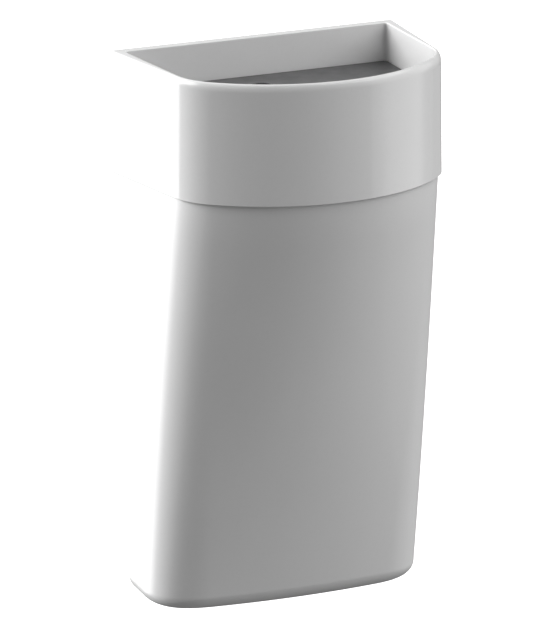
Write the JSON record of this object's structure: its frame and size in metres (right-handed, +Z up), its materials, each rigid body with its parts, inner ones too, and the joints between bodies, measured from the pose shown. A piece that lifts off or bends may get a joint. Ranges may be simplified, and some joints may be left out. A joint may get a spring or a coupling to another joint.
{
  "type": "dog waste bin",
  "caption": "Wall-hung D-shaped dog waste bin: a tapered tub on a hooked wall plate, with a lift-off collar, a hinged flap with a finger hole, and a swinging bag ring.",
  "frame": {"origin": "middle of the wall plate's back face, on the wall", "axes": "+Z up, +Y into the wall, the bin's front towards -Y, +X to the right of someone facing the bin"},
  "size_m": [0.3362, 0.233, 0.6],
  "materials": {
    "white_gloss": "gloss moulded",
    "white_satin": "semi-gloss moulded",
    "dark_grey": "satin moulded",
    "zinc_steel": "zinc plated sheet",
    "stainless": "satin",
    "nylon": "natural nylon",
    "black_rubber": "matt"
  },
  "bodies": {
    "wall_bracket": {"wall_plate": "zinc_steel"},
    "bin": {"body_shell": "white_satin", "hanger_plate": "zinc_steel", "hanger_rivet_1": "stainless", "hanger_rivet_2": "stainless", "hanger_rivet_3": "stainless", "hanger_rivet_4": "stainless", "ring_clip_left": "stainless", "ring_clip_right": "stainless", "ring_clip_left_rivet_1": "stainless", "ring_clip_left_rivet_2": "stainless", "ring_clip_right_rivet_1": "stainless", "ring_clip_right_rivet_2": "stainless"},
    "bag_hoop": {"bag_ring": "stainless"},
    "collar": {"collar_shell": "white_gloss", "flap_bush_left": "nylon", "flap_bush_right": "nylon", "flap_buffer_1": "black_rubber", "flap_buffer_2": "black_rubber", "flap_buffer_3": "black_rubber", "flap_buffer_4": "black_rubber"},
    "flap": {"flap_plate": "dark_grey", "flap_pin_left": "stainless", "flap_pin_right": "stainless"}
  },
  "joints": [
    {"name": "unhook", "type": "slide", "parent": "wall_bracket", "child": "bin", "axis": [0, 0, 1], "range_m": [0, 0.017]},
    {"name": "collar_lift", "type": "slide", "parent": "bin", "child": "collar", "axis": [0, 0, 1], "range_m": [0, 0.2]},
    {"name": "bag_ring_swing", "type": "hinge", "parent": "bin", "child": "bag_hoop", "pos_m": [0, -0.0132, 0.148], "axis": [-1, 0, 0], "range_deg": [0, 62]},
    {"name": "flap_lift", "type": "hinge", "parent": "collar", "child": "flap", "pos_m": [0, -0.018, 0.175], "axis": [-1, 0, 0], "range_deg": [0, 90]}
  ],
  "couplings": [
    {"joint": "bag_ring_swing", "follows": "collar_lift", "rad_per_m": 5.236}
  ]
}
